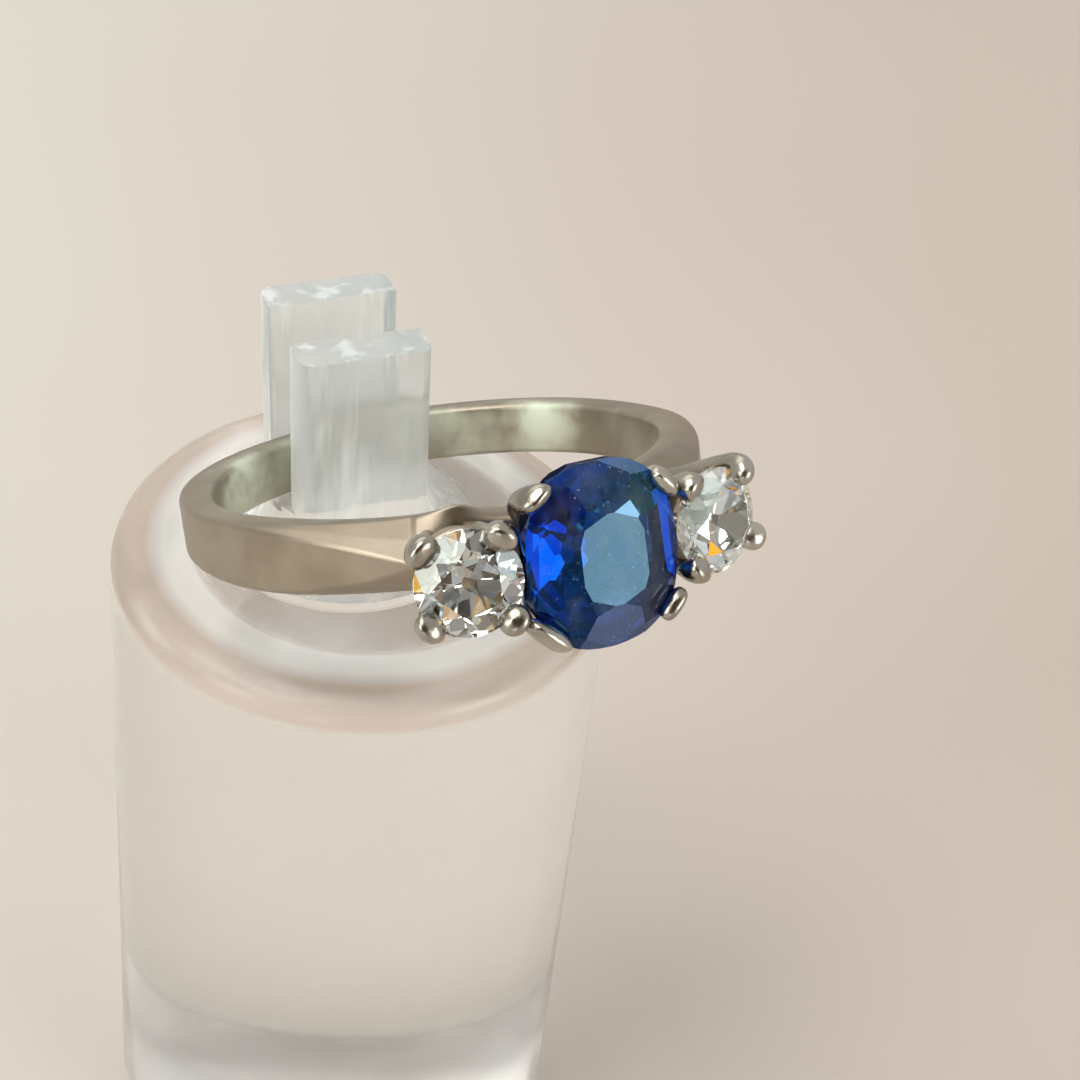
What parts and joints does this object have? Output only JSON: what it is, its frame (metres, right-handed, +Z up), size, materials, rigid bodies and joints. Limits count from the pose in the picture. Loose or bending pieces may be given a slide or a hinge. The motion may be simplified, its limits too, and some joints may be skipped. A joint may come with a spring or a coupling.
{
  "type": "sapphire ring on a display stand",
  "caption": "Finger ring with a cushion-oval sapphire between round diamonds in claw settings, held by its band in the slit of a clear round display stand.",
  "frame": {"origin": "centre of the stand's underside, on the column's axis", "axes": "+Z up the column, -Y towards the ring's head, +X to the right of the head when it is faced"},
  "size_m": [0.0212, 0.0306, 0.0494],
  "materials": {
    "ring_metal": "worn satin white metal, polished claws",
    "sapphire": "faceted deep blue gemstone",
    "diamond": "faceted colourless gemstone",
    "clear_acrylic": "clear, polished"
  },
  "bodies": {
    "root": {"ring_mount": "ring_metal", "sapphire": "sapphire", "diamond_left": "diamond", "diamond_right": "diamond", "stand_column": "clear_acrylic", "stand_clip": "clear_acrylic"}
  },
  "joints": []
}
